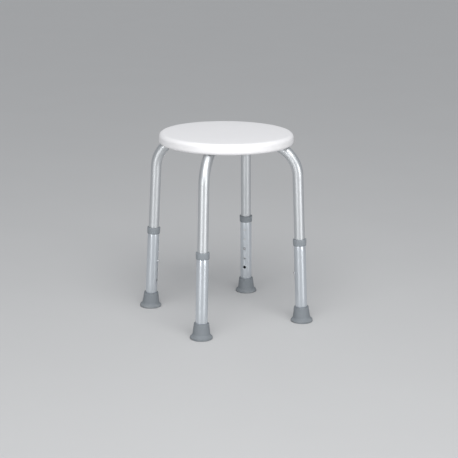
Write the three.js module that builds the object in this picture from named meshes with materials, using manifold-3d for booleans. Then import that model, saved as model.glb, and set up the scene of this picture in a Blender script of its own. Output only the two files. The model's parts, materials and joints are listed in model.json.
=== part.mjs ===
// A round shower stool: a moulded seat on four bent tube legs. Their lower tubes slide and lock with buttons.
// Lengths are millimetres and +Z is up. The origin is on the floor, under the centre of the seat.
import * as THREE from 'three';
import { mergeVertices } from 'three/addons/utils/BufferGeometryUtils.js';
import Module from 'manifold-3d';

const wasm = await Module();
wasm.setup();

const degrees = THREE.MathUtils.degToRad;

// The whole stool
const SEAT_HEIGHT = 455;
const FOOT_CIRCLE = 195; // radius at which the leg axes meet the floor
const SPLAY = degrees(2.7); // how far each leg leans in towards the top
const LEGS = { front_left: -135, front_right: -45, rear_right: 45, rear_left: 135 }; // degrees about +Z
const FIT = 0.3; // gap between pieces that touch
const OVERLAP = 1; // how far joined shapes reach into each other, and cutters past the surface
const SAME_POINT = 1e-4; // corners closer than this are one

// Seat
const SEAT_RADIUS = 161;
const SEAT_DEPTH = 26;
const SEAT_EDGE_ROUND = 10.5;
const SEAT_DECK = 4;
const SEAT_WALL = 5;
const SEAT_INNER_ROUND = 6;
const SEAT_LIP = { inner: 153.6, rise: 8, round: 6.7 }; // where the rim curls in under its wall
const SEAT_RIB = 2.5;
const SEAT_RIB_BOTTOM = 437;
const HUB_RADIUS = 53;
const STRUT_DEPTH = 6;
const BOSS_RADIUS = 7;

// Tubes
const UPPER_RADIUS = 12.7;
const LOWER_RADIUS = 14.3;
const TUBE_WALL = 1.3;
const BEND_RADIUS = 76; // to the tube's centre line
const BEND_START = 360.4; // along the leg from the floor
const RUN_END = 58; // how close to the stool's axis the upper tube comes
const LOWER_START = 10.3;
const LOWER_END = 203.2;

// Height lock, along the leg from the floor
const BUTTON_AT = 119.6;
const HOLE_PITCH = 25.4;
const HOLE_COUNT = 5;
const HOLE_RADIUS = 3.6;
const TUBE_BELOW_BUTTON = 27;
const BUTTON_RADIUS = 3.1;
const BUTTON_TIP = 17.9; // from the leg's axis
const BUTTON_DOME = 2.5;
const BUTTON_FLANGE = { radius: 4.6, near: 9, far: 10 };
const CLIP = { width: 7, thick: 0.8, near: 8.7, far: 10.4, arm: 7, bend: 36, turn: 3.2 };

// Collar and foot
const COLLAR = { bottom: 190, top: 206, lip: 2.5, foot: 15.7, head: 16.3, round: 1 };
const FOOT = {
  flange: 27.1, rim: 4.6, round: 2, waist: 21.6, waistHeight: 8.6,
  neck: 17.6, neckRound: 1, height: 37.2, base: 8.2
};
const FOOT_TRIM = 4; // how far the foot is drawn past the floor before its sole is cut level
const WASHER = { radius: 14.1, hole: 5, thick: 1.5 };

// Fasteners under the seat
const SCREW_AT = [70, 92]; // from the stool's axis
const SCREW_RADIUS = 2.9;
const SCREW_HEAD = { radius: 6, height: 3.8, round: 1.6, socket: 2.3, socketDepth: 2.4 };
const INSERT = { radius: 4.3, height: 8 };
const PLUG = { head: 12.4, headThick: 2, round: 0.8, barrel: 10.9, length: 8, bore: 8.5 };

// Sides of the round shapes
const SEAT_SIDES = 48;
const TUBE_SIDES = 20;
const BEND_STEPS = 8;
const SMALL_SIDES = 12;
const TINY_SIDES = 10;
const SEAT_ROUND_STEPS = 3;
const SMALL_ROUND_STEPS = 2;
const CLIP_TURN_STEPS = 4;
const HEXAGON = 6;

// Heights that follow from the above
const bendAngle = Math.PI / 2 - SPLAY;
const bendCentre = new THREE.Vector2(
  FOOT_CIRCLE - BEND_START * Math.sin(SPLAY) - BEND_RADIUS * Math.cos(SPLAY),
  BEND_START * Math.cos(SPLAY) - BEND_RADIUS * Math.sin(SPLAY)
);
const runHeight = bendCentre.y + BEND_RADIUS;
const runTop = runHeight + UPPER_RADIUS;
const runBottom = runHeight - UPPER_RADIUS;
const deckUnderside = SEAT_HEIGHT - SEAT_DECK;
const seatBottom = SEAT_HEIGHT - SEAT_DEPTH;

const look = (color, roughness, metalness) => () =>
  new THREE.MeshStandardMaterial({ color, roughness, metalness });
const whitePlastic = look(0xf2f0f1, 0.55, 0);
const satinAluminium = look(0xb9bcbd, 0.35, 1);
const greyPlastic = look(0x969ba0, 0.6, 0);
const greyRubber = look(0x858b8d, 0.85, 0);
const brightSteel = look(0xc9cbcc, 0.25, 1);
const springSteel = look(0x8f9295, 0.35, 1);
const brass = look(0xb5953c, 0.35, 1);

// ---- solids ----

function solidOf(geometry) {
  const bare = geometry.clone();
  bare.deleteAttribute('normal');
  bare.deleteAttribute('uv');
  const merged = mergeVertices(bare, SAME_POINT);
  return new wasm.Manifold(new wasm.Mesh({
    numProp: 3,
    vertProperties: merged.attributes.position.array,
    triVerts: new Uint32Array(merged.index.array)
  }));
}

function geometryOf(solid) {
  const mesh = solid.getMesh();
  const geometry = new THREE.BufferGeometry();
  geometry.setAttribute('position', new THREE.BufferAttribute(mesh.vertProperties, mesh.numProp));
  geometry.setIndex(new THREE.BufferAttribute(mesh.triVerts, 1));
  return geometry;
}

function join(shapes) {
  return shapes.map(solidOf).reduce((whole, next) => whole.add(next));
}

function cut(shape, cutters) {
  return geometryOf(cutters.map(solidOf).reduce((left, cutter) => left.subtract(cutter), shape));
}

// An outline of corners [radius, height, rounding], with each rounded corner drawn as an arc.
function outline(corners, closed, steps = SMALL_ROUND_STEPS) {
  const points = corners.map(([x, y]) => new THREE.Vector2(x, y));
  const drawn = points.flatMap((corner, i) => {
    const rounding = corners[i][2];
    if (!rounding) return [corner];
    const before = points[(i + points.length - 1) % points.length].clone().sub(corner).normalize();
    const after = points[(i + 1) % points.length].clone().sub(corner).normalize();
    const half = before.angleTo(after) / 2;
    const middle = before.clone().add(after).setLength(rounding / Math.sin(half)).add(corner);
    const start = before.multiplyScalar(rounding / Math.tan(half)).add(corner).sub(middle);
    const end = after.multiplyScalar(rounding / Math.tan(half)).add(corner).sub(middle);
    const turn = Math.atan2(start.cross(end), start.dot(end));
    return Array.from({ length: steps + 1 }, (_, k) =>
      start.clone().rotateAround(new THREE.Vector2(), turn * k / steps).add(middle));
  });
  return closed ? [...drawn, drawn[0]] : drawn;
}

// A shape turned about +Z. Its corners run from the bottom up on the outside.
function turned(corners, sides, { ring = false, steps } = {}) {
  return new THREE.LatheGeometry(outline(corners, ring, steps), sides).rotateX(Math.PI / 2);
}

function ringAlongZ(inner, outer, bottom, top, sides) {
  return turned([[outer, bottom], [outer, top], [inner, top], [inner, bottom]], sides, { ring: true });
}

function rodAlongZ(radius, bottom, top, sides = SMALL_SIDES) {
  return turned([[0, bottom], [radius, bottom], [radius, top], [0, top]], sides);
}

function box(x0, x1, width, z0, z1) {
  return new THREE.BoxGeometry(x1 - x0, width, z1 - z0).translate((x0 + x1) / 2, 0, (z0 + z1) / 2);
}

// Turns a shape drawn along +Z so that it points at the stool's axis, across the leg.
const acrossLeg = (geometry) => geometry.rotateY(-Math.PI / 2);

// Moves a shape drawn beside a leg's axis into the upright plane of that leg.
const intoLegPlane = (geometry) => geometry.rotateY(-SPLAY).translate(FOOT_CIRCLE, 0, 0);

// ---- seat ----

function seatShell() {
  const inner = SEAT_RADIUS - SEAT_WALL;
  return turned([
    [0, deckUnderside], [inner, deckUnderside, SEAT_INNER_ROUND], [inner, seatBottom + SEAT_LIP.rise],
    [SEAT_LIP.inner, seatBottom], [SEAT_RADIUS, seatBottom, SEAT_LIP.round],
    [SEAT_RADIUS, SEAT_HEIGHT, SEAT_EDGE_ROUND], [0, SEAT_HEIGHT]
  ], SEAT_SIDES, { steps: SEAT_ROUND_STEPS });
}

function cradle(angle) {
  const offset = UPPER_RADIUS + FIT + SEAT_RIB / 2;
  const reach = SEAT_RADIUS - SEAT_WALL + OVERLAP;
  const walls = [-offset, offset].map((y) =>
    box(HUB_RADIUS - OVERLAP, reach, SEAT_RIB, SEAT_RIB_BOTTOM, deckUnderside + OVERLAP).translate(0, y, 0));
  const bosses = SCREW_AT.map((x) =>
    rodAlongZ(BOSS_RADIUS, runTop + FIT, deckUnderside + OVERLAP, SMALL_SIDES).translate(x, 0, 0));
  return [...walls, ...bosses].map((shape) => shape.rotateZ(angle));
}

function strut(angle) {
  const reach = SEAT_RADIUS - SEAT_WALL + OVERLAP;
  return box(HUB_RADIUS - OVERLAP, reach, SEAT_RIB, deckUnderside - STRUT_DEPTH, deckUnderside + OVERLAP)
    .rotateZ(angle);
}

function insertPockets(angle) {
  const top = runTop + FIT + INSERT.height + FIT;
  return SCREW_AT.map((x) =>
    rodAlongZ(INSERT.radius + FIT, runTop - OVERLAP, top, SMALL_SIDES).translate(x, 0, 0).rotateZ(angle));
}

function seat() {
  const hubTop = deckUnderside + OVERLAP;
  const hub = ringAlongZ(HUB_RADIUS - SEAT_RIB, HUB_RADIUS, SEAT_RIB_BOTTOM, hubTop, SEAT_SIDES / 2);
  const legAngles = Object.values(LEGS).map(degrees);
  const strutAngles = legAngles.map((angle) => angle + Math.PI / 4);
  const body = join([seatShell(), hub, ...legAngles.flatMap(cradle), ...strutAngles.map(strut)]);
  return cut(body, legAngles.flatMap(insertPockets));
}

// ---- legs ----

// The centre line of the upper tube in its leg's upright plane, with one step for each straight stretch.
class BentLine extends THREE.Curve {
  constructor() {
    super();
    const along = new THREE.Vector2(-Math.sin(SPLAY), Math.cos(SPLAY));
    const start = along.clone().multiplyScalar(BUTTON_AT - TUBE_BELOW_BUTTON);
    this.points = [start.add(new THREE.Vector2(FOOT_CIRCLE, 0))];
    this.directions = [along];
    for (let i = 0; i <= BEND_STEPS; i++) {
      const angle = SPLAY + bendAngle * i / BEND_STEPS;
      const outward = new THREE.Vector2(Math.cos(angle), Math.sin(angle));
      this.points.push(outward.clone().multiplyScalar(BEND_RADIUS).add(bendCentre));
      this.directions.push(new THREE.Vector2(-outward.y, outward.x));
    }
    this.points.push(new THREE.Vector2(RUN_END, runHeight));
    this.directions.push(new THREE.Vector2(-1, 0));
    this.steps = this.points.length - 1;
  }

  getUtoTmapping(u) {
    return u;
  }

  between(list, t) {
    const i = Math.min(Math.floor(t * this.steps + 1e-9), this.steps - 1);
    const mix = list[i].clone().lerp(list[i + 1], t * this.steps - i);
    return new THREE.Vector3(mix.x, 0, mix.y);
  }

  getPoint(t) {
    return this.between(this.points, t);
  }

  getTangent(t) {
    return this.between(this.directions, t).normalize();
  }
}

function upperTube() {
  const line = new BentLine();
  const section = new THREE.Shape().absarc(0, 0, UPPER_RADIUS, 0, Math.PI * 2);
  section.holes.push(new THREE.Path().absarc(0, 0, UPPER_RADIUS - TUBE_WALL, 0, Math.PI * 2));
  const tube = new THREE.ExtrudeGeometry(section, {
    extrudePath: line, steps: line.steps, curveSegments: TUBE_SIDES / 2, bevelEnabled: false
  });
  const buttonHole = acrossLeg(rodAlongZ(HOLE_RADIUS, UPPER_RADIUS / 2, LOWER_RADIUS, TINY_SIDES));
  const screwHoles = SCREW_AT.map((x) =>
    rodAlongZ(SCREW_RADIUS + FIT, runBottom - OVERLAP, runTop + OVERLAP, TINY_SIDES).translate(x, 0, 0));
  return cut(solidOf(tube), [intoLegPlane(buttonHole.translate(0, 0, BUTTON_AT)), ...screwHoles]);
}

function lowerTube() {
  const bore = UPPER_RADIUS + FIT;
  const tube = ringAlongZ(bore, LOWER_RADIUS, LOWER_START, LOWER_END, TUBE_SIDES);
  const holes = Array.from({ length: HOLE_COUNT }, (_, i) => {
    const height = BUTTON_AT + (i - (HOLE_COUNT - 1) / 2) * HOLE_PITCH;
    const drill = acrossLeg(rodAlongZ(HOLE_RADIUS, bore / 2, LOWER_RADIUS + OVERLAP, TINY_SIDES));
    return drill.translate(0, 0, height);
  });
  return cut(solidOf(tube), holes);
}

function collar() {
  const bore = UPPER_RADIUS + 2 * FIT;
  const socket = LOWER_RADIUS + FIT;
  const shoulder = COLLAR.top - COLLAR.lip;
  return turned([
    [COLLAR.foot, COLLAR.bottom], [COLLAR.head, COLLAR.top, COLLAR.round], [bore, COLLAR.top],
    [bore, shoulder], [socket, shoulder], [socket, COLLAR.bottom]
  ], TUBE_SIDES, { ring: true });
}

function foot() {
  const socket = LOWER_RADIUS + FIT;
  const body = turned([
    [0, -FOOT_TRIM], [FOOT.flange, -FOOT_TRIM], [FOOT.flange, FOOT.rim, FOOT.round],
    [FOOT.waist, FOOT.waistHeight], [FOOT.neck, FOOT.height, FOOT.neckRound], [socket, FOOT.height],
    [socket, FOOT.base], [0, FOOT.base]
  ], TUBE_SIDES);
  const reach = FOOT.flange * 2;
  const floor = box(-reach, reach, reach * 2, -FOOT_TRIM * 3, 0).rotateY(SPLAY);
  return cut(solidOf(body), [floor]);
}

function footWasher() {
  const bottom = FOOT.base + FIT;
  return ringAlongZ(WASHER.hole, WASHER.radius, bottom, bottom + WASHER.thick, TUBE_SIDES);
}

function snapButton() {
  const { radius, near, far } = BUTTON_FLANGE;
  const pin = turned([
    [0, near], [radius, near], [radius, far], [BUTTON_RADIUS, far],
    [BUTTON_RADIUS, BUTTON_TIP, BUTTON_DOME], [0, BUTTON_TIP]
  ], SMALL_SIDES);
  return acrossLeg(pin).translate(0, 0, BUTTON_AT);
}

// A strip folded into a V. The near arm carries the button and the far arm leans on the tube's other wall.
function springClip() {
  const { thick, near, far, arm, bend, turn } = CLIP;
  const middle = (far - near) / 2;
  const strip = new THREE.Shape();
  strip.moveTo(-near, -arm).lineTo(-near, arm).lineTo(middle - turn, bend);
  strip.absarc(middle, bend, turn, Math.PI, 0, true);
  strip.lineTo(far, arm).lineTo(far, -arm).lineTo(far - thick, -arm).lineTo(far - thick, arm);
  strip.absarc(middle, bend, turn - thick, 0, Math.PI, false);
  strip.lineTo(thick - near, arm).lineTo(thick - near, -arm);
  const folded = { depth: CLIP.width, curveSegments: CLIP_TURN_STEPS, bevelEnabled: false };
  return new THREE.ExtrudeGeometry(strip, folded)
    .translate(0, 0, -CLIP.width / 2).rotateX(Math.PI / 2).translate(0, 0, BUTTON_AT);
}

// ---- under the seat ----

function endPlug() {
  const bodyLength = PLUG.headThick + PLUG.length;
  const plug = turned([
    [0, 0], [PLUG.head, 0, PLUG.round], [PLUG.head, PLUG.headThick], [PLUG.barrel, PLUG.headThick],
    [PLUG.barrel, bodyLength], [PLUG.bore, bodyLength], [PLUG.bore, PLUG.headThick], [0, PLUG.headThick]
  ], TUBE_SIDES, { steps: 1 });
  return plug.rotateY(Math.PI / 2).translate(RUN_END - FIT - PLUG.headThick, 0, runHeight);
}

function screw() {
  const underHead = runBottom - FIT;
  const bottom = underHead - SCREW_HEAD.height;
  const tip = runTop + INSERT.height;
  const pin = turned([
    [0, bottom], [SCREW_HEAD.radius, bottom, SCREW_HEAD.round], [SCREW_HEAD.radius, underHead],
    [SCREW_RADIUS, underHead], [SCREW_RADIUS, tip], [0, tip]
  ], SMALL_SIDES);
  const socketTop = bottom + SCREW_HEAD.socketDepth;
  return cut(solidOf(pin), [rodAlongZ(SCREW_HEAD.socket, bottom - OVERLAP, socketTop, HEXAGON)]);
}

function threadedInsert() {
  const bottom = runTop + FIT;
  return ringAlongZ(SCREW_RADIUS + FIT, INSERT.radius, bottom, bottom + INSERT.height, TINY_SIDES);
}

// ---- the stool ----

function piece(name, geometry, material) {
  const mesh = new THREE.Mesh(geometry, material());
  mesh.name = name;
  return mesh;
}

function slidingLeg(side) {
  const leg = new THREE.Group();
  leg.position.x = FOOT_CIRCLE;
  leg.rotation.y = -SPLAY;
  leg.add(
    piece(`lower_tube_${side}`, lowerTube(), satinAluminium),
    piece(`collar_${side}`, collar(), greyPlastic),
    piece(`foot_${side}`, foot(), greyRubber),
    piece(`foot_washer_${side}`, footWasher(), springSteel),
    piece(`snap_button_${side}`, snapButton(), brightSteel),
    piece(`spring_clip_${side}`, springClip(), springSteel)
  );
  return leg;
}

function fasteners(side) {
  return SCREW_AT.flatMap((x, i) => {
    const pair = [
      piece(`seat_screw_${side}_${i + 1}`, screw(), brightSteel),
      piece(`threaded_insert_${side}_${i + 1}`, threadedInsert(), brass)
    ];
    pair.forEach((mesh) => mesh.position.setX(x));
    return pair;
  });
}

function corner(side) {
  const group = new THREE.Group();
  group.rotation.z = degrees(LEGS[side]);
  group.add(
    piece(`upper_tube_${side}`, upperTube(), satinAluminium),
    piece(`end_plug_${side}`, endPlug(), greyPlastic),
    ...fasteners(side),
    slidingLeg(side)
  );
  return group;
}

const stool = new THREE.Group();
stool.add(piece('seat', seat(), whitePlastic), ...Object.keys(LEGS).map(corner));

export default stool;
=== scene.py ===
"""A round shower stool: a white moulded seat on four splayed aluminium legs.

The legs telescope and lock with snap buttons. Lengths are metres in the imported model's frame:
+Z is up and the origin is on the floor under the seat's centre. The leg pieces are modelled once
beside an upright axis, with the lock holes facing -X, and stood in place four times.
"""

import json
import math

import bpy
from mathutils import Matrix, Vector


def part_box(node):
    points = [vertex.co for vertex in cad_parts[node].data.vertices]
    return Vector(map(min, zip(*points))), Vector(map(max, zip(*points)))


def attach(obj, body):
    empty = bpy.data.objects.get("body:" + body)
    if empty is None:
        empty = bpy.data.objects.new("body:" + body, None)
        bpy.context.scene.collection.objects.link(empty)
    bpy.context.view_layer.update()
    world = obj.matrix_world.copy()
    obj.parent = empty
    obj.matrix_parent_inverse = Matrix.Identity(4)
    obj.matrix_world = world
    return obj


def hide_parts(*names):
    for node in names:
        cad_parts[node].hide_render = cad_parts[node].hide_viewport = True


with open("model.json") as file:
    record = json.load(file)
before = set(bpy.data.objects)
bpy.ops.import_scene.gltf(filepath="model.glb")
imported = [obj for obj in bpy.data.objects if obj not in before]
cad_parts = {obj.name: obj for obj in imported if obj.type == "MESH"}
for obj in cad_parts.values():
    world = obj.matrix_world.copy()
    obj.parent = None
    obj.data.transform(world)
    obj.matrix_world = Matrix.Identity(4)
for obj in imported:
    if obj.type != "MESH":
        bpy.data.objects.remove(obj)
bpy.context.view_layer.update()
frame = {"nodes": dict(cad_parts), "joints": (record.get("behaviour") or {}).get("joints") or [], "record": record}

MM = 0.001
LEGS = ("front_left", "front_right", "rear_right", "rear_left")
FIT = 0.3 * MM  # gap between pieces that touch
FACET = 0.4 * MM  # how far a smooth round foot would stand out of the faceted one's box
HAIR = 0.01 * MM  # keeps the seat's flat top inside the CAD box
SINK = 0.5 * MM  # how far a piece reaches into the one that it is joined to
CLEAR = 1 * MM  # how far a cutter stands out of what it cuts

# Seat
SEAT_EDGE_ROUND = 10.5 * MM
SEAT_DECK = 4 * MM
SEAT_WALL = 5 * MM
SEAT_INNER_ROUND = 6 * MM
SEAT_LIP_INNER = 153.6 * MM
SEAT_LIP_RISE = 8 * MM
SEAT_LIP_ROUND = 6.7 * MM
SEAT_LIP_INNER_ROUND = 4 * MM
RIB_WIDTH = 2.5 * MM
RIB_DEPTH = 14 * MM
RIB_TAPER = 0.8
STRUT_DEPTH = 6 * MM
HUB_RADIUS = 53 * MM
BOSS_RADIUS = 7 * MM
BOSS_DRAFT = 0.4 * MM

# Tubes
BEND_RADIUS = 76 * MM
TUBE_WALL = 1.3 * MM
HOLE_PITCH = 25.4 * MM
HOLE_COUNT = 5
HOLE_RADIUS = 3.6 * MM
DEBURR = 0.5 * MM
SCREW_HOLE_RADIUS = 3.2 * MM

# Foot: the corners of its outline are a radius and a height above the floor
FOOT_FLANGE_TOP = 4.9 * MM
FOOT_SHOULDER = (24 * MM, 6.6 * MM)
FOOT_WAIST = (20.9 * MM, 11 * MM)
FOOT_NECK_RADIUS = 17.6 * MM
FOOT_SOCKET_FLOOR = 8.2 * MM
FOOT_BELOW = -4 * MM  # cut off level with the floor later
SOLE_ROUND = 1.5 * MM
SOLE_BORDERS = (3.5 * MM, 3 * MM)
GROOVE_WIDTH = 3 * MM
GROOVE_SIDE = 0.6 * MM
GROOVE_DEPTH = 1.2 * MM

# Snap button, end plug and screw
BUTTON_RADIUS = 3.1 * MM
BUTTON_FLANGE = 1 * MM
BUTTON_NOSE = 0.85  # how round the tip is, as a part of the radius
PLUG_RIM = 2 * MM
PLUG_BARREL_RADIUS = 10.9 * MM
PLUG_BORE_RADIUS = 8.5 * MM
SCREW_SHANK_RADIUS = 2.9 * MM
SCREW_HEAD = 3.8 * MM
SCREW_SOCKET_RADIUS = 2.3 * MM
SCREW_SOCKET_DEPTH = 2.4 * MM
SCREW_TURN = math.radians(23)  # each screw has stopped at an angle of its own

# How finely round pieces are drawn
SEAT_SIDES = 192
TUBE_SIDES = 96
SMALL_SIDES = 48
HEXAGON = 6
BEND_STEPS = 36
ON_AXIS = 0.03 * MM  # a point nearer than this lies on the axis
DOUBLE = 0.005 * MM  # points nearer than this are one point
SHARP = 35  # degrees
SEAT_SHARP = 30

# Colours
SEAT_WHITE = (0.84, 0.832, 0.838, 1)
SEAT_SHADED = (0.80, 0.792, 0.80, 1)
UPPER_ALUMINIUM = (0.67, 0.69, 0.705)
LOWER_ALUMINIUM = (0.71, 0.75, 0.79)
COLLAR_GREY = (0.242, 0.264, 0.284)
PLUG_GREY = (0.195, 0.2, 0.205)
RUBBER_GREY = (0.188, 0.207, 0.224)
RUBBER_PALE = (0.30, 0.31, 0.31, 1)
BUTTON_STEEL = (0.70, 0.71, 0.72)
SCREW_STEEL = (0.72, 0.73, 0.74)
SPRING_STEEL = (0.42, 0.43, 0.44)
BRASS = (0.62, 0.45, 0.19)
WHITE = (1, 1, 1)
SKY = (0.80, 0.83, 0.87, 1)
SKY_STRENGTH = 0.45

# Room and camera
FLOOR_SIZE = 60
LAMPS_FACE = Vector((0, 0, 0.25))
SUN_AWAY = 3
CAMERA_DISTANCE = 3.0
CAMERA_HEIGHT = 1.0
CAMERA_AROUND = math.radians(-28.67)
CAMERA_DOWN = math.radians(14.66)
CAMERA_ASIDE = math.radians(-0.16)
CAMERA_ROLL = math.radians(0.48)
CAMERA_LENS = 100.0

joints = {joint["name"]: joint for joint in frame["joints"]}
mounts = {mount["name"]: mount for mount in frame["record"]["mounts"]}


# ---- places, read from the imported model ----

def foot_base(leg):
    return Vector(mounts[f"foot_base_{leg}"]["pos_m"])


def leg_place(leg):
    """Stands a piece that was modelled beside the upright axis in one leg's place."""
    up = -Vector(joints[f"height_{leg}"]["axis"])
    out = -Vector(joints[f"press_button_{leg}"]["axis"])
    turn = Matrix((out, up.cross(out), up)).transposed().to_4x4()
    return Matrix.Translation(foot_base(leg)) @ turn


def plan_place(leg):
    """Turns a piece from +X to the side of the stool where a leg stands."""
    foot = foot_base(leg)
    return Matrix.Rotation(math.atan2(foot.y, foot.x), 4, "Z")


def box_in(place, node):
    """The lowest and highest corners of a CAD node, seen from a place."""
    back = place.inverted()
    points = [back @ vertex.co for vertex in frame["nodes"][node].data.vertices]
    return Vector(map(min, zip(*points))), Vector(map(max, zip(*points)))


first = LEGS[0]
first_leg = leg_place(first)
seat_low, seat_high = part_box("seat")
upper_low, upper_high = box_in(first_leg, f"upper_tube_{first}")
run_low, run_high = box_in(plan_place(first), f"upper_tube_{first}")
lower_low, lower_high = box_in(first_leg, f"lower_tube_{first}")
collar_low, collar_high = box_in(first_leg, f"collar_{first}")
foot_low, foot_high = box_in(first_leg, f"foot_{first}")
button_low, button_high = box_in(first_leg, f"snap_button_{first}")
plug_low, plug_high = box_in(plan_place(first), f"end_plug_{first}")

seat_radius = seat_high.x
deck_underside = seat_high.z - SEAT_DECK
upper_radius = upper_high.y
lower_radius = lower_high.y
button_height = (button_low.z + button_high.z) / 2
splay = math.acos(-joints[f"height_{first}"]["axis"][2])
run_height = run_high.z - upper_radius
bend_start = (run_height - BEND_RADIUS * (1 - math.sin(splay))) / math.cos(splay)
bend_angle = math.pi / 2 - splay


def plug_place(leg):
    """Lays an end plug in the inner end of a leg's upper tube."""
    into_tube = Matrix.Translation((plug_low.x, 0, run_height))
    return plan_place(leg) @ into_tube @ Matrix.Rotation(math.pi / 2, 4, "Y")


# ---- modelling ----

def deselect():
    if bpy.context.object and bpy.context.object.mode != "OBJECT":
        bpy.ops.object.mode_set(mode="OBJECT")
    bpy.ops.object.select_all(action="DESELECT")


def pick(piece):
    deselect()
    piece.select_set(True)
    bpy.context.view_layer.objects.active = piece


def edit(piece):
    pick(piece)
    bpy.ops.object.mode_set(mode="EDIT")


def select_facing(piece, direction, least):
    """Selects the faces whose normal points along a direction, in edit mode."""
    bpy.ops.mesh.select_all(action="DESELECT")
    bpy.ops.mesh.select_mode(type="FACE")
    bpy.ops.object.mode_set(mode="OBJECT")
    for face in piece.data.polygons:
        face.select = face.normal.dot(direction) > least
    bpy.ops.object.mode_set(mode="EDIT")


def select_open_edges():
    bpy.ops.mesh.select_all(action="DESELECT")
    bpy.ops.mesh.select_non_manifold(extend=False)


def extrude(step):
    bpy.ops.mesh.extrude_region_move(TRANSFORM_OT_translate={"value": step})


def finish_mesh(piece, sharp=SHARP):
    """Merges doubles, points the faces outwards, and smooths all but the sharp edges."""
    edit(piece)
    bpy.ops.mesh.select_all(action="SELECT")
    bpy.ops.mesh.remove_doubles(threshold=DOUBLE)
    bpy.ops.mesh.normals_make_consistent(inside=False)
    bpy.ops.object.mode_set(mode="OBJECT")
    bpy.ops.object.shade_smooth_by_angle(angle=math.radians(sharp))
    return piece


def cut(piece, cutter, operation="DIFFERENCE", **settings):
    """Cuts one piece out of another, or joins them, and drops the cutter."""
    pick(piece)
    modifier = piece.modifiers.new("cut", "BOOLEAN")
    modifier.operation = operation
    modifier.object = cutter
    modifier.solver = "EXACT"
    for name, value in settings.items():
        setattr(modifier, name, value)
    bpy.ops.object.modifier_apply(modifier=modifier.name)
    bpy.data.objects.remove(cutter)


def merged(pieces):
    """Joins several objects into the first of them."""
    deselect()
    for piece in pieces:
        piece.select_set(True)
    bpy.context.view_layer.objects.active = pieces[0]
    bpy.ops.object.join()
    return pieces[0]


def rounded(corners, steps=6):
    """An outline of (radius, height) corners.

    A third number rounds that corner with an arc of that radius.
    """
    points = [Vector(corner[:2]) for corner in corners]
    outline = []
    for i, corner in enumerate(corners):
        here = points[i]
        if len(corner) < 3:
            outline.append(here)
            continue
        before = (points[i - 1] - here).normalized()
        after = (points[(i + 1) % len(points)] - here).normalized()
        half = before.angle(after) / 2
        middle = here + (before + after).normalized() * corner[2] / math.sin(half)
        start = here + before * corner[2] / math.tan(half) - middle
        end = here + after * corner[2] / math.tan(half) - middle
        turn = math.atan2(start.x * end.y - start.y * end.x, start.dot(end))
        for k in range(steps + 1):
            outline.append(middle + Matrix.Rotation(turn * k / steps, 2) @ start)
    return outline


def turned(name, outline, sides=SMALL_SIDES):
    """Draws a ring and pulls it through the outline, as on a lathe.

    An outline that starts on the axis is closed there, and any other closes on itself.
    """
    on_axis = outline[0].x < ON_AXIS
    rings = outline[1:] if on_axis else outline
    deselect()
    bpy.ops.mesh.primitive_circle_add(vertices=sides, radius=rings[0].x,
                                      location=(0, 0, rings[0].y),
                                      fill_type="TRIFAN" if on_axis else "NOTHING")
    piece = bpy.context.object
    piece.name = piece.data.name = name
    bpy.ops.object.transform_apply()
    edit(piece)
    bpy.ops.mesh.select_all(action="DESELECT")
    bpy.ops.mesh.select_mode(type="EDGE")
    bpy.ops.mesh.select_non_manifold(extend=False)
    for here, there in zip(rings, rings[1:]):
        extrude((0, 0, there.y - here.y))
        if there.x < ON_AXIS:
            bpy.ops.mesh.merge(type="CENTER")
            break
        scale = there.x / here.x
        bpy.ops.transform.resize(value=(scale, scale, 1), center_override=(0, 0, there.y))
    if not on_axis:
        select_open_edges()
        bpy.ops.mesh.bridge_edge_loops()
    return finish_mesh(piece)


def rod(radius, low, high, sides=SMALL_SIDES):
    """A plain cutter along +Z."""
    deselect()
    bpy.ops.mesh.primitive_cylinder_add(vertices=sides, radius=radius, depth=high - low,
                                        location=(0, 0, (low + high) / 2))
    bpy.ops.object.transform_apply()
    return bpy.context.object


def moved(piece, place):
    piece.data.transform(place)
    piece.data.update()
    return piece


def copy_of(master, name, place):
    """A copy with its own mesh, stood in a place."""
    piece = master.copy()
    piece.data = master.data.copy()
    piece.name = piece.data.name = name
    bpy.context.scene.collection.objects.link(piece)
    return moved(piece, place)


def remember_lay(piece, lay):
    """Stores where each point lies on the straight tube, for patterns that follow its length."""
    stored = piece.data.attributes.new("lay", "FLOAT_VECTOR", "POINT")
    for vertex, value in zip(piece.data.vertices, stored.data):
        value.vector = lay(vertex.co)


def dress(piece, material):
    piece.data.materials.clear()
    piece.data.materials.append(material)


def stands_for(piece, node, body, material):
    """Makes a piece ride on its body in place of a CAD node."""
    dress(piece, material)
    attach(piece, body)
    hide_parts(node)


def on_every_leg(master, node, body, material, place=leg_place):
    """Stands four copies of a leg piece in their places."""
    for leg in LEGS:
        piece = copy_of(master, f"{master.name}_{leg}", place(leg))
        stands_for(piece, f"{node}_{leg}", body.format(leg), material)
    bpy.data.objects.remove(master)


# ---- materials ----

class Signal:
    """A node's output. Sums on it add Math nodes."""

    def __init__(self, finish, socket):
        self.finish, self.socket = finish, socket

    def maths(self, operation, *values):
        return self.finish.node("ShaderNodeMath", {"operation": operation},
                                dict(enumerate(values)))

    def __add__(self, other):
        return self.maths("ADD", self, other)

    __radd__ = __add__

    def __sub__(self, other):
        return self.maths("SUBTRACT", self, other)

    def __rsub__(self, other):
        return self.maths("SUBTRACT", other, self)

    def __mul__(self, other):
        return self.maths("MULTIPLY", self, other)

    __rmul__ = __mul__

    def __gt__(self, other):
        return self.maths("GREATER_THAN", self, other)


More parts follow.
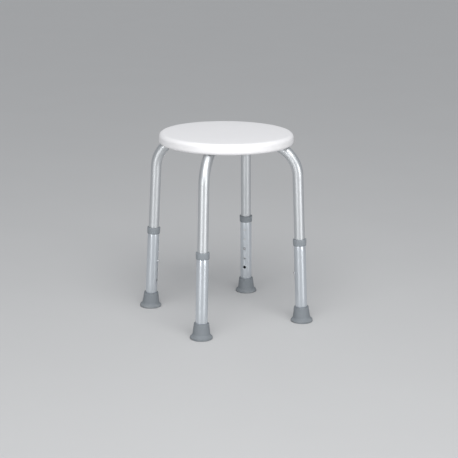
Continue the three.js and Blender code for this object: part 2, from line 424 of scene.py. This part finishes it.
class Finish:
    """A material made of nodes, around one Principled shader."""

    MIX_FACTOR, MIX_COLOUR, MIX_OTHER, MIX_RESULT = 0, 6, 7, 2  # colour sockets of the Mix node

    def __init__(self, name, ior=1.45):
        self.material = bpy.data.materials.new(name)
        self.material.use_nodes = True
        self.tree = self.material.node_tree
        self.shader = self.tree.nodes["Principled BSDF"]
        self.shader.inputs["IOR"].default_value = ior

    def node(self, kind, settings=None, inputs=None, output=0):
        made = self.tree.nodes.new(kind)
        for name, value in (settings or {}).items():
            setattr(made, name, value)
        for socket, value in (inputs or {}).items():
            self.feed(made.inputs[socket], value)
        return Signal(self, made.outputs[output])

    def feed(self, socket, value):
        if isinstance(value, Signal):
            self.tree.links.new(value.socket, socket)
        else:
            socket.default_value = value

    def shade(self, **signals):
        """Feeds the shader, with base_color for its Base Color and so on."""
        for socket, value in signals.items():
            self.feed(self.shader.inputs[socket.replace("_", " ").title()], value)
        return self.material

    def object_place(self):
        return self.node("ShaderNodeTexCoord", output="Object")

    def lay(self):
        return self.node("ShaderNodeAttribute", {"attribute_name": "lay"}, output="Vector")

    def height_of(self, vector):
        return self.node("ShaderNodeSeparateXYZ", inputs={"Vector": vector}, output="Z")

    def stretched(self, place, scale):
        return self.node("ShaderNodeMapping", inputs={"Vector": place, "Scale": scale})

    def noise(self, place, scale, detail=4.0, roughness=0.5):
        return self.node("ShaderNodeTexNoise", inputs={
            "Vector": place, "Scale": scale, "Detail": detail, "Roughness": roughness})

    def streaks(self, place, scale, detail=2.0, roughness=0.5):
        """Noise with its own scale along each axis."""
        return self.noise(self.stretched(place, scale), 1.0, detail, roughness)

    def between(self, signal, low, high):
        """Spreads a 0 to 1 signal between two numbers."""
        return self.node("ShaderNodeMapRange",
                         inputs={"Value": signal, "To Min": low, "To Max": high})

    def masked(self, signal, start, end):
        """0 below start and 1 above end."""
        return self.node("ShaderNodeMapRange", {"interpolation_type": "SMOOTHSTEP"}, {
            "Value": signal, "From Min": start, "From Max": end})

    def mixed(self, mask, colour, other):
        return self.node("ShaderNodeMix", {"data_type": "RGBA"}, {
            self.MIX_FACTOR: mask, self.MIX_COLOUR: colour, self.MIX_OTHER: other
        }, self.MIX_RESULT)

    def bump(self, height, distance, onto=None):
        inputs = {"Height": height, "Distance": distance, "Strength": 1.0}
        if onto:
            inputs["Normal"] = onto
        return self.node("ShaderNodeBump", inputs=inputs)


def toned(colour, amount):
    """A colour made lighter or darker."""
    return tuple(part * amount for part in colour) + (1.0,)


def white_seat_plastic():
    """White plastic with a fine pebble grain on the sitting face and a smoother rim."""
    finish = Finish("white_seat_plastic", ior=1.49)
    place = finish.object_place()
    height = finish.height_of(place)
    facing = finish.height_of(finish.node("ShaderNodeNewGeometry", output="Normal"))
    top = finish.masked(facing, start=0.985, end=0.999) * (height > seat_high.z - 3 * MM)
    pebbles = finish.node("ShaderNodeTexVoronoi", {"feature": "SMOOTH_F1"}, {
        "Vector": place, "Scale": 620.0, "Smoothness": 0.6, "Randomness": 1.0})
    haze = finish.noise(place, scale=9.0)
    fine = finish.noise(place, scale=1900.0, detail=2.0)
    colour = finish.mixed(haze, SEAT_WHITE, SEAT_SHADED)
    roughness = finish.between(haze, low=0.34, high=0.42) + top * 0.16
    grain = finish.bump(pebbles * top, 0.12 * MM)
    return finish.shade(base_color=colour, roughness=roughness,
                        normal=finish.bump(fine, 0.01 * MM, onto=grain))


def satin_aluminium(name, tone, roughness, wear):
    """Satin tube with fine marks drawn along its length and faint scuffs."""
    finish = Finish(name, ior=1.45)
    lay = finish.lay()
    drawn = finish.streaks(lay, scale=(900.0, 900.0, 7.0), detail=3.0)
    bands = finish.streaks(lay, scale=(240.0, 240.0, 4.0))
    blotches = finish.streaks(lay, scale=(60.0, 60.0, 45.0), detail=8.0, roughness=0.7)
    scuffs = finish.masked(blotches, start=0.62, end=0.75)
    colour = finish.mixed(bands, toned(tone, 0.96), toned(tone, 1.04))
    colour = finish.mixed(scuffs * wear, colour, toned(tone, 0.8))
    gloss = finish.between(drawn, low=roughness - 0.05, high=roughness + 0.05)
    gloss = gloss + scuffs * wear * 0.12
    return finish.shade(base_color=colour, metallic=1.0, roughness=gloss,
                        normal=finish.bump(drawn, 0.003 * MM))


def moulded_grey(name, tone, roughness=0.5):
    """Grey moulded plastic with a slight cloudiness and a fine texture."""
    finish = Finish(name, ior=1.48)
    place = finish.object_place()
    cloud = finish.noise(place, scale=70.0)
    texture = finish.noise(place, scale=1600.0, detail=2.0)
    colour = finish.mixed(cloud, toned(tone, 0.93), toned(tone, 1.07))
    gloss = finish.between(cloud, low=roughness - 0.05, high=roughness + 0.07)
    return finish.shade(base_color=colour, roughness=gloss,
                        normal=finish.bump(texture, 0.02 * MM))


def grey_rubber():
    """Matt grey rubber, paler in patches low down, over the flange near the floor."""
    finish = Finish("grey_rubber", ior=1.5)
    place = finish.object_place()
    height = finish.height_of(place)
    cloud = finish.noise(place, scale=55.0, detail=6.0, roughness=0.6)
    specks = finish.noise(place, scale=2200.0, detail=2.0)
    low_down = 1 - finish.masked(height, start=2 * MM, end=11 * MM)
    # Paler patches below about 11 mm, over the flange: their colour is mixed up to halfway towards a paler grey.
    pale_low_patches = low_down * finish.masked(cloud, start=0.35, end=0.7)
    colour = finish.mixed(cloud, toned(RUBBER_GREY, 0.92), toned(RUBBER_GREY, 1.08))
    colour = finish.mixed(pale_low_patches * 0.5, colour, RUBBER_PALE)
    roughness = finish.between(specks, low=0.62, high=0.8) + pale_low_patches * 0.1
    return finish.shade(base_color=colour, roughness=roughness,
                        normal=finish.bump(specks * 0.5 + cloud, 0.05 * MM))


def plain_metal(name, tone, roughness):
    """Small metal pieces with a faint unevenness in their polish."""
    finish = Finish(name, ior=1.45)
    place = finish.object_place()
    cloud = finish.noise(place, scale=300.0)
    marks = finish.streaks(place, scale=(2500.0, 2500.0, 300.0), detail=4.0)
    colour = finish.mixed(cloud, toned(tone, 0.85), toned(tone, 1))
    gloss = finish.between(marks, low=roughness - 0.05, high=roughness + 0.08)
    return finish.shade(base_color=colour, metallic=1.0, roughness=gloss,
                        normal=finish.bump(marks, 0.004 * MM))


def pale_floor():
    finish = Finish("pale_floor", ior=1.4)
    cloud = finish.noise(finish.object_place(), scale=3.0)
    colour = finish.mixed(cloud, toned(WHITE, 0.55), toned(WHITE, 0.57))
    return finish.shade(base_color=colour, roughness=finish.between(cloud, low=0.7, high=0.8))


# ---- seat ----

def seat_shell():
    """The seat's skin: a flat top, a round edge, and a rim around the hollow underside."""
    top, bottom, inner = seat_high.z - HAIR, seat_low.z, seat_radius - SEAT_WALL
    deck = top - SEAT_DECK
    return turned("seat_moulding", rounded([
        (0, deck), (inner, deck, SEAT_INNER_ROUND),
        (inner, bottom + SEAT_LIP_RISE, SEAT_LIP_INNER_ROUND),
        (SEAT_LIP_INNER, bottom, 0.5 * MM), (seat_radius, bottom, SEAT_LIP_ROUND),
        (seat_radius, top, SEAT_EDGE_ROUND), (seat_radius / 2, top), (0, top)
    ], steps=12), SEAT_SIDES)


def rib(depth, offset, angle):
    """A rib under the deck, from the hub to the wall, with a thinner and rounded lower edge."""
    start = HUB_RADIUS - 2 * SINK
    end = seat_radius - SEAT_WALL + SINK
    middle = (start + end) / 2
    deselect()
    bpy.ops.mesh.primitive_cube_add(
        size=1, location=(middle, offset, deck_underside - depth / 2 + SINK),
        scale=(end - start, RIB_WIDTH, depth + 2 * SINK))
    piece = bpy.context.object
    bpy.ops.object.transform_apply()
    edit(piece)
    select_facing(piece, Vector((0, 0, -1)), 0.9)
    bpy.ops.transform.resize(value=(1, RIB_TAPER, 1),
                             center_override=(middle, offset, deck_underside - depth))
    bpy.ops.mesh.bevel(offset=RIB_WIDTH * 0.2, segments=3)
    bpy.ops.object.mode_set(mode="OBJECT")
    return moved(piece, Matrix.Rotation(angle, 4, "Z"))


def hub():
    """The ring in the middle of the underside."""
    inner, low = HUB_RADIUS - RIB_WIDTH, deck_underside - RIB_DEPTH
    return turned("hub", rounded([
        (inner, low, 0.5 * MM), (HUB_RADIUS, low, 0.5 * MM),
        (HUB_RADIUS, deck_underside + SINK), (inner, deck_underside + SINK)
    ], steps=3), TUBE_SIDES)


def boss(x, angle):
    """A round boss for a threaded insert, and the cutter for its pocket."""
    bottom = run_high.z + FIT
    insert_low, insert_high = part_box(f"threaded_insert_{first}_1")
    pocket = (insert_high.x - insert_low.x) / 2 + FIT
    body = turned("boss", rounded([
        (pocket, bottom, 0.3 * MM), (BOSS_RADIUS, bottom, 0.6 * MM),
        (BOSS_RADIUS + BOSS_DRAFT, deck_underside + SINK), (pocket, deck_underside + SINK)
    ], steps=3))
    hole = rod(pocket, bottom - FIT, insert_high.z + FIT)
    place = Matrix.Rotation(angle, 4, "Z") @ Matrix.Translation((x, 0, 0))
    return moved(body, place), moved(hole, place)


def screw_reach():
    """How far the screws of a leg stand from the stool's axis."""
    boxes = [box_in(plan_place(first), f"seat_screw_{first}_{i}") for i in (1, 2)]
    return [(low.x + high.x) / 2 for low, high in boxes]


def seat():
    shell = seat_shell()
    offset = upper_radius + FIT + RIB_WIDTH / 2
    ribs, pockets = [hub()], []
    for i, leg in enumerate(LEGS):
        angle = plan_place(leg).to_euler().z
        for side in (-offset, offset):
            ribs.append(rib(RIB_DEPTH, side, angle))
        ribs.append(rib(STRUT_DEPTH, 0, i * math.pi / 2))
        for x in screw_reach():
            body, hole = boss(x, angle)
            ribs.append(body)
            pockets.append(hole)
    cut(shell, merged(ribs), "UNION", use_self=True)
    cut(shell, merged(pockets))
    finish_mesh(shell, SEAT_SHARP)
    stands_for(shell, "seat", "seat_frame", white_seat_plastic())


# ---- tubes ----

def unbent(point):
    """Where a point of the upper tube would lie if the tube were straight."""
    if point.z <= bend_start:
        return point
    centre = Vector((-BEND_RADIUS, 0, bend_start))
    offset = point - centre
    turn = math.atan2(offset.z, offset.x)
    if turn <= bend_angle:
        outwards = math.hypot(offset.x, offset.z) - BEND_RADIUS
        return Vector((outwards, point.y, bend_start + turn * BEND_RADIUS))
    out = Vector((math.cos(bend_angle), 0, math.sin(bend_angle)))
    along = Vector((-out.z, 0, out.x))
    return Vector((offset.dot(out) - BEND_RADIUS, point.y,
                   bend_start + bend_angle * BEND_RADIUS + offset.dot(along)))


def run_length():
    """The straight stretch under the seat, from the end of the bend to the plug."""
    foot_reach = foot_base(first).length
    centre = foot_reach - bend_start * math.sin(splay) - BEND_RADIUS * math.cos(splay)
    return centre - run_low.x


def drill(surface):
    """A cutter for a lock hole along -X, wider at the tube's surface for a deburred edge."""
    inside, outside = upper_radius / 2, surface + 2 * CLEAR
    wide = HOLE_RADIUS + 1.5 * DEBURR
    cutter = turned("drill", rounded([
        (0, inside), (HOLE_RADIUS, inside), (HOLE_RADIUS, surface - DEBURR),
        (wide, surface + DEBURR / 2), (wide, outside), (0, outside)
    ]))
    return moved(cutter, Matrix.Rotation(-math.pi / 2, 4, "Y"))


def upper_tube():
    """A tube drawn up the leg, bent inwards and run under the seat, then drilled."""
    deselect()
    bpy.ops.mesh.primitive_circle_add(vertices=TUBE_SIDES, radius=upper_radius,
                                      location=(0, 0, upper_low.z), fill_type="NGON")
    piece = bpy.context.object
    piece.name = piece.data.name = "bent_tube"
    bpy.ops.object.transform_apply()
    edit(piece)
    bpy.ops.mesh.select_all(action="SELECT")
    bpy.ops.mesh.select_mode(type="FACE")
    bpy.ops.mesh.inset(thickness=TUBE_WALL)
    bpy.ops.mesh.delete(type="FACE")
    bpy.ops.mesh.select_all(action="SELECT")
    band = 6 * MM
    heights = (upper_low.z, button_height - band, button_height + band, bend_start)
    for low, high in zip(heights, heights[1:]):
        extrude((0, 0, high - low))
    bpy.ops.mesh.spin(steps=BEND_STEPS, angle=bend_angle, center=(-BEND_RADIUS, 0, bend_start),
                      axis=(0, 1, 0))
    inwards = Vector((-math.sin(bend_angle), 0, math.cos(bend_angle)))
    extrude(inwards * run_length())
    finish_mesh(piece)
    cut(piece, merged([moved(drill(upper_radius), Matrix.Translation((0, 0, button_height))),
                       *screw_drills()]))
    finish_mesh(piece)
    remember_lay(piece, unbent)
    return piece


def screw_drills():
    """Cutters for the screws' holes in the first leg's upper tube."""
    into_leg = first_leg.inverted() @ plan_place(first)
    low, high = run_low.z - CLEAR, run_high.z + CLEAR
    return [moved(rod(SCREW_HOLE_RADIUS, low, high), into_leg @ Matrix.Translation((x, 0, 0)))
            for x in screw_reach()]


def lower_tube():
    """The outer tube, with its lock holes drilled through the wall that faces inwards."""
    bore = upper_radius + FIT
    edge = 0.35 * MM
    margin = HOLE_RADIUS + 1.5 * MM
    middle = (HOLE_COUNT - 1) / 2
    holes_at = [button_height + (i - middle) * HOLE_PITCH for i in range(HOLE_COUNT)]
    side = [(lower_radius, height + step) for height in holes_at for step in (-margin, margin)]
    piece = turned("sleeve_tube", rounded([
        (bore, lower_low.z, edge), (lower_radius, lower_low.z, edge), *side,
        (lower_radius, lower_high.z, edge), (bore, lower_high.z, edge)
    ], steps=3), TUBE_SIDES)
    cut(piece, merged([moved(drill(lower_radius), Matrix.Translation((0, 0, height)))
                       for height in holes_at]))
    finish_mesh(piece)
    remember_lay(piece, lambda point: point)
    return piece


# ---- small pieces ----

def collar():
    """A grey ring over the lower tube's end, with a lip that centres the upper tube."""
    low, high, radius = collar_low.z, collar_high.z, collar_high.y
    bore, socket = upper_radius + 2 * FIT, lower_radius + FIT
    shoulder = lower_high.z + FIT
    skirt, waist = radius - 0.7 * MM, radius - 0.45 * MM
    return turned("grey_collar", rounded([
        (socket, low, 0.3 * MM), (skirt, low, 0.6 * MM), (waist, low + 3 * MM),
        (radius, high, 1.6 * MM), (bore + 0.2 * MM, high, 0.5 * MM),
        (bore, shoulder, 0.2 * MM), (socket, shoulder)
    ], steps=5), TUBE_SIDES)


def foot():
    """A rubber tip: a tapered neck that sweeps out into a thick flange, cut level below."""
    radius, high = foot_high.y - FACET, foot_high.z
    socket = lower_radius + FIT
    piece = turned("rubber_tip", rounded([
        (0, FOOT_BELOW), (radius, FOOT_BELOW), (radius, FOOT_FLANGE_TOP, 2.4 * MM),
        (*FOOT_SHOULDER, 2 * MM), (*FOOT_WAIST, 3 * MM), (FOOT_NECK_RADIUS, high, 1.2 * MM),
        (socket, high, 0.5 * MM), (socket, FOOT_SOCKET_FLOOR, 0.5 * MM), (0, FOOT_SOCKET_FLOOR)
    ], steps=5), TUBE_SIDES)
    down = (first_leg.inverted().to_3x3() @ Vector((0, 0, -1))).normalized()
    edit(piece)
    bpy.ops.mesh.select_all(action="SELECT")
    bpy.ops.mesh.bisect(plane_co=(0, 0, 0), plane_no=-down, use_fill=True, clear_inner=True)
    shape_sole(piece, down)
    return finish_mesh(piece)


def shape_sole(piece, down):
    """Rounds the sole's edge and presses two grip rings into it."""
    select_facing(piece, down, 0.999)
    bpy.ops.mesh.region_to_loop()
    bpy.ops.mesh.bevel(offset=SOLE_ROUND, segments=4, affect="EDGES")
    select_facing(piece, down, 0.999)
    for border in SOLE_BORDERS:
        bpy.ops.mesh.inset(thickness=border)
        bpy.ops.mesh.inset(thickness=GROOVE_SIDE, depth=-GROOVE_DEPTH)
        bpy.ops.mesh.inset(thickness=GROOVE_WIDTH)
        bpy.ops.mesh.inset(thickness=GROOVE_SIDE, depth=GROOVE_DEPTH)


def snap_button():
    """A round-nosed pin that stands out of the lock hole, with a flange inside the tube."""
    tip, back = -button_low.x, -button_high.x
    flange, front = button_high.y, back + BUTTON_FLANGE
    piece = turned("button_pin", rounded([
        (0, back), (flange, back, 0.2 * MM), (flange, front, 0.2 * MM), (BUTTON_RADIUS, front),
        (BUTTON_RADIUS, tip, BUTTON_RADIUS * BUTTON_NOSE), (0, tip)
    ], steps=10))
    across = Matrix.Rotation(-math.pi / 2, 4, "Y")
    return moved(piece, Matrix.Translation((0, 0, button_height)) @ across)


def end_plug():
    """A grey plug with a slightly domed face for the inner end of an upper tube."""
    length, head = plug_high.x - plug_low.x, plug_high.y
    return turned("plug_cap", rounded([
        (0, 0), (head - 3 * MM, 0, 2 * MM), (head, 0.7 * MM, 0.6 * MM), (head, PLUG_RIM),
        (PLUG_BARREL_RADIUS, PLUG_RIM), (PLUG_BARREL_RADIUS, length, 0.4 * MM),
        (PLUG_BORE_RADIUS, length), (PLUG_BORE_RADIUS, PLUG_RIM), (0, PLUG_RIM)
    ], steps=4))


def seat_screw():
    """A pan head screw with a hexagon socket, standing point up."""
    low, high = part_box(f"seat_screw_{first}_1")
    head, length = (high.x - low.x) / 2, high.z - low.z
    piece = turned("pan_screw", rounded([
        (0, 0), (head * 0.97, 0, 2.2 * MM), (head, SCREW_HEAD, 0.4 * MM),
        (SCREW_SHANK_RADIUS, SCREW_HEAD, 0.2 * MM), (SCREW_SHANK_RADIUS, length, 0.6 * MM),
        (0, length)
    ]))
    cut(piece, rod(SCREW_SOCKET_RADIUS, -CLEAR, SCREW_SOCKET_DEPTH, HEXAGON))
    return finish_mesh(piece)


def seat_screws():
    master = seat_screw()
    steel = plain_metal("plated_steel", SCREW_STEEL, 0.26)
    for i, leg in enumerate(LEGS):
        for k in (1, 2):
            low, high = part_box(f"seat_screw_{leg}_{k}")
            middle = (low + high) / 2
            turn = Matrix.Rotation(SCREW_TURN * (2 * i + k), 4, "Z")
            place = Matrix.Translation((middle.x, middle.y, low.z)) @ turn
            piece = copy_of(master, f"pan_screw_{leg}_{k}", place)
            stands_for(piece, f"seat_screw_{leg}_{k}", "seat_frame", steel)
    bpy.data.objects.remove(master)


def dress_hidden_parts():
    """Gives the CAD pieces that stay their own finishes."""
    steel = plain_metal("spring_steel", SPRING_STEEL, 0.34)
    brass = plain_metal("insert_brass", BRASS, 0.3)
    for name, node in frame["nodes"].items():
        if name.startswith(("spring_clip", "foot_washer")):
            dress(node, steel)
        if name.startswith("threaded_insert"):
            dress(node, brass)


# ---- the room ----

def floor():
    deselect()
    bpy.ops.mesh.primitive_plane_add(size=FLOOR_SIZE)
    plane = bpy.context.object
    plane.name = "floor"
    plane.data.materials.append(pale_floor())


def towards_stool(lamp, aside, place):
    """Puts a lamp in its place, facing the stool. Its place is given from the camera's side."""
    turn = Matrix.Rotation(CAMERA_AROUND + math.radians(aside), 4, "Z")
    body = bpy.data.objects.new(lamp.name, lamp)
    body.location = turn @ Vector(place)
    body.rotation_euler = (LAMPS_FACE - body.location).to_track_quat("-Z", "Y").to_euler()
    bpy.context.scene.collection.objects.link(body)


def soft_box(name, aside, height, distance, size, power):
    lamp = bpy.data.lights.new(name, "AREA")
    lamp.shape = "RECTANGLE"
    lamp.size, lamp.size_y = size
    lamp.energy = power
    towards_stool(lamp, aside, (0, -distance, height))


def wide_light(name, rise, spread, strength):
    """Even light from the camera's side of the room, as soft as its spread."""
    lamp = bpy.data.lights.new(name, "SUN")
    lamp.angle = math.radians(spread)
    lamp.energy = strength
    up = math.radians(rise)
    towards_stool(lamp, 0, (0, -SUN_AWAY * math.cos(up), SUN_AWAY * math.sin(up)))


def lights():
    soft_box("left_box", aside=-34, height=0.55, distance=4.4, size=(0.8, 1.1), power=30)
    soft_box("right_box", aside=42, height=0.55, distance=4.4, size=(0.9, 1.1), power=38)
    soft_box("front_box", aside=6, height=2.2, distance=1.7, size=(2.0, 1.4), power=32)
    wide_light("over_light", rise=58, spread=60, strength=1.0)
    world = bpy.data.worlds.new("room")
    world.use_nodes = True
    background = world.node_tree.nodes["Background"]
    background.inputs["Color"].default_value = SKY
    background.inputs["Strength"].default_value = SKY_STRENGTH
    bpy.context.scene.world = world
    bpy.context.scene.view_settings.view_transform = "Standard"


def camera():
    eye = bpy.data.cameras.new("camera")
    eye.lens = CAMERA_LENS
    place = Vector((math.sin(CAMERA_AROUND), -math.cos(CAMERA_AROUND), 0)) * CAMERA_DISTANCE
    place.z = CAMERA_HEIGHT
    body = bpy.data.objects.new("camera", eye)
    turn = Matrix.Rotation(CAMERA_AROUND + CAMERA_ASIDE, 4, "Z")
    tilt = Matrix.Rotation(math.pi / 2 - CAMERA_DOWN, 4, "X")
    roll = Matrix.Rotation(CAMERA_ROLL, 4, "Z")
    body.matrix_world = Matrix.Translation(place) @ turn @ tilt @ roll
    bpy.context.scene.collection.objects.link(body)
    bpy.context.scene.camera = body


camera()
lights()
floor()
seat()
on_every_leg(upper_tube(), "upper_tube", "seat_frame",
             satin_aluminium("upper_aluminium", UPPER_ALUMINIUM, roughness=0.45, wear=0.5))
on_every_leg(lower_tube(), "lower_tube", "lower_leg_{}",
             satin_aluminium("lower_aluminium", LOWER_ALUMINIUM, roughness=0.33, wear=0.7))
on_every_leg(collar(), "collar", "lower_leg_{}",
             moulded_grey("collar_grey", COLLAR_GREY))
on_every_leg(foot(), "foot", "lower_leg_{}", grey_rubber())
on_every_leg(snap_button(), "snap_button", "button_{}",
             plain_metal("button_steel", BUTTON_STEEL, roughness=0.24))
on_every_leg(end_plug(), "end_plug", "seat_frame",
             moulded_grey("plug_grey", PLUG_GREY), plug_place)
seat_screws()
dress_hidden_parts()
